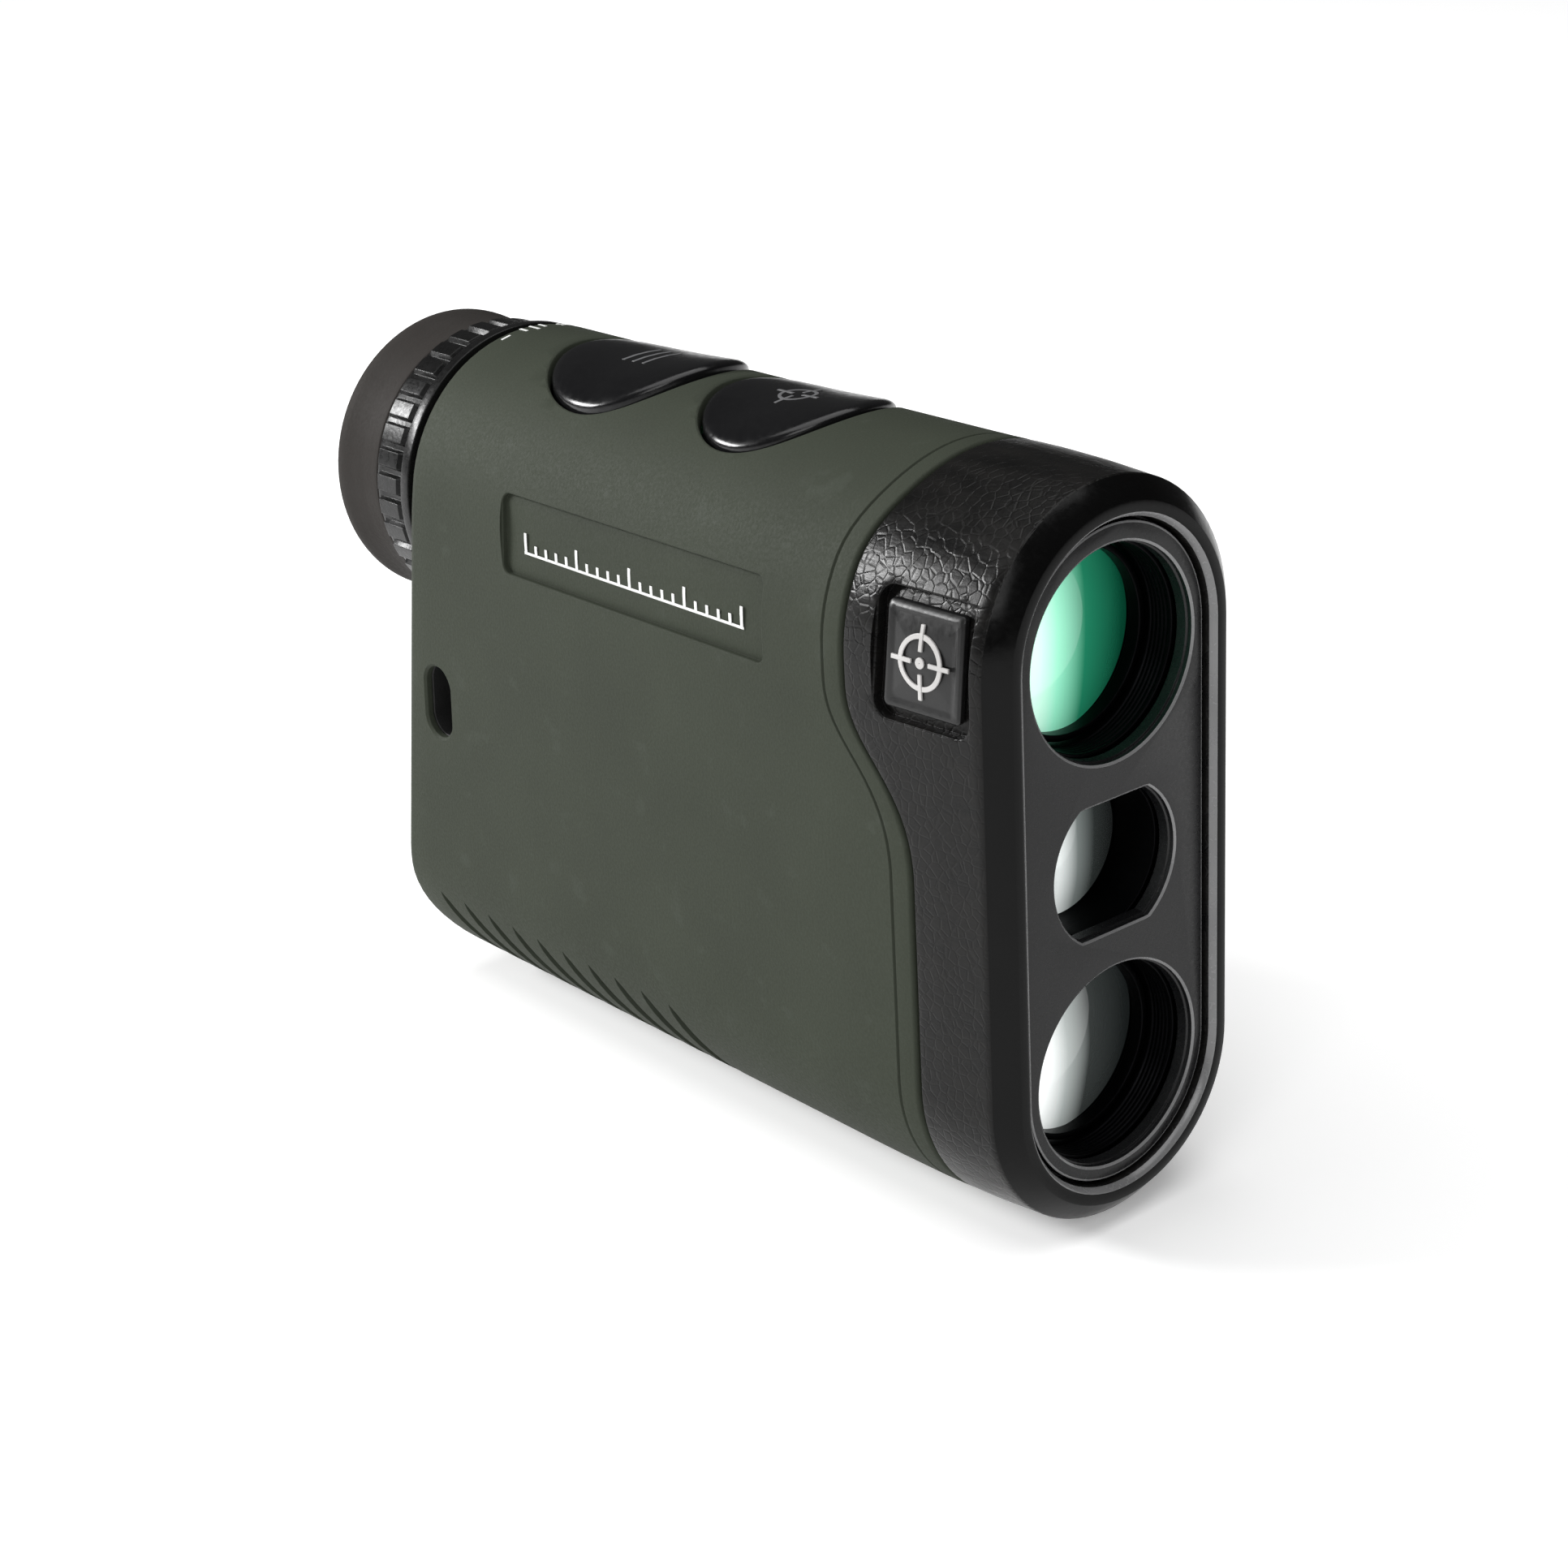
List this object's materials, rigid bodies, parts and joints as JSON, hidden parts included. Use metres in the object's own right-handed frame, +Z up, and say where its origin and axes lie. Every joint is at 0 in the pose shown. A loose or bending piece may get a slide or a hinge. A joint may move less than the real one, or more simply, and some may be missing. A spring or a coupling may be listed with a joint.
{
  "type": "laser rangefinder",
  "caption": "Hand-held monocular laser rangefinder: armoured slab body, front bezel with windows, top buttons, diopter ring and twist-up eyecup.",
  "frame": {"origin": "centre of the overall box in X and Y, on the lowest line of the rounded underside", "axes": "+Y along the optical axis from the front bezel towards the eyecup, +Z up towards the buttons, X across the width"},
  "size_m": [0.035, 0.109, 0.0784],
  "materials": {
    "green_armour": "soft matt grey-green rubber armour with a fine grain",
    "black_bezel": "semi-gloss black with a fine leather grain",
    "face_satin": "satin dark grey",
    "badge": "satin dark plate with a raised silver symbol",
    "button_gloss": "glossy black",
    "eyepiece_plastic": "fine matt black",
    "eyecup_rubber": "soft black rubber",
    "seal_rubber": "black sealing rubber",
    "anodised": "matt black anodised",
    "coated_glass": "green anti-reflection coating",
    "clear_glass": "clear coated optical glass",
    "circuit_board": "green solder mask",
    "steel": "plain machined",
    "brass": "plain",
    "cell_wrap": "plain wrapped cell"
  },
  "bodies": {
    "housing": {"armour_body": "green_armour", "front_bezel": "black_bezel", "bezel_seal": "seal_rubber", "face_plate": "face_satin", "left_badge": "badge", "right_badge": "badge", "front_frame": "anodised", "frame_screw_1": "steel", "frame_screw_2": "steel", "frame_screw_3": "steel", "frame_screw_4": "steel", "left_chassis_plate": "anodised", "right_chassis_plate": "anodised", "objective_barrel": "anodised", "objective_retaining_ring": "anodised", "objective_front_lens": "coated_glass", "objective_rear_lens": "clear_glass", "baffle_tube": "anodised", "emitter_barrel": "anodised", "emitter_lens": "clear_glass", "laser_diode": "brass", "laser_board": "circuit_board", "receiver_barrel": "anodised", "receiver_retaining_ring": "anodised", "receiver_lens": "clear_glass", "photodiode": "steel", "receiver_board": "circuit_board", "prism_housing": "anodised", "front_prism": "clear_glass", "rear_prism": "clear_glass", "display_glass": "clear_glass", "eyepiece_tube": "eyepiece_plastic", "button_board": "circuit_board", "menu_dome_switch": "steel", "range_dome_switch": "steel", "main_board": "circuit_board", "board_screw_1": "steel", "board_screw_2": "steel", "board_screw_3": "steel", "battery_tube": "eyepiece_plastic", "battery": "cell_wrap", "battery_spring": "steel", "lanyard_sleeve": "seal_rubber", "tripod_socket": "steel"},
    "menu_key": {"menu_button": "button_gloss"},
    "range_key": {"range_button": "button_gloss"},
    "diopter": {"diopter_ring": "eyepiece_plastic"},
    "eye_lens_group": {"eye_lens_cell": "anodised", "field_lens": "clear_glass", "eye_lens": "clear_glass", "eye_lens_ring": "anodised"},
    "eyecup_cam": {"eyecup_cam_ring": "anodised"},
    "eyecup": {"eyecup_sleeve": "eyepiece_plastic", "eyecup_rubber": "eyecup_rubber"},
    "battery_contact": {"battery_contact_plate": "brass"},
    "battery_lid": {"battery_cap": "eyepiece_plastic", "battery_cap_seal": "seal_rubber"}
  },
  "joints": [
    {"name": "menu_press", "type": "slide", "parent": "housing", "child": "menu_key", "axis": [0, 0, -1], "range_m": [0, 0.0008], "stiffness_N_per_m": 1200, "springref_m": -0.0002},
    {"name": "range_press", "type": "slide", "parent": "housing", "child": "range_key", "axis": [0, 0, -1], "range_m": [0, 0.0008], "stiffness_N_per_m": 1200, "springref_m": -0.0002},
    {"name": "diopter_turn", "type": "hinge", "parent": "housing", "child": "diopter", "pos_m": [0, 0.0433, 0.0602], "axis": [0, 1, 0], "range_deg": [-90, 90]},
    {"name": "eye_lens_focus", "type": "slide", "parent": "housing", "child": "eye_lens_group", "axis": [0, 1, 0], "range_m": [-0.00125, 0.00125]},
    {"name": "eyecup_twist", "type": "hinge", "parent": "housing", "child": "eyecup_cam", "pos_m": [0, 0.0438, 0.0602], "axis": [0, 1, 0], "range_deg": [0, 120]},
    {"name": "eyecup_rise", "type": "slide", "parent": "eyecup_cam", "child": "eyecup", "axis": [0, 1, 0], "range_m": [0, 0.0047]},
    {"name": "battery_cap_travel", "type": "slide", "parent": "housing", "child": "battery_contact", "axis": [0, 0.9849, 0.1733], "range_m": [0, 0.00299]},
    {"name": "battery_cap_turn", "type": "hinge", "parent": "battery_contact", "child": "battery_lid", "pos_m": [0, 0.04506, 0.023], "axis": [0, 0.9849, 0.1733], "range_deg": [0, 720]}
  ],
  "couplings": [
    {"joint": "diopter_turn", "follows": "eye_lens_focus", "rad_per_m": 1250},
    {"joint": "eyecup_twist", "follows": "eyecup_rise", "rad_per_m": 444.4},
    {"joint": "battery_cap_turn", "follows": "battery_cap_travel", "rad_per_m": 4188.8}
  ]
}
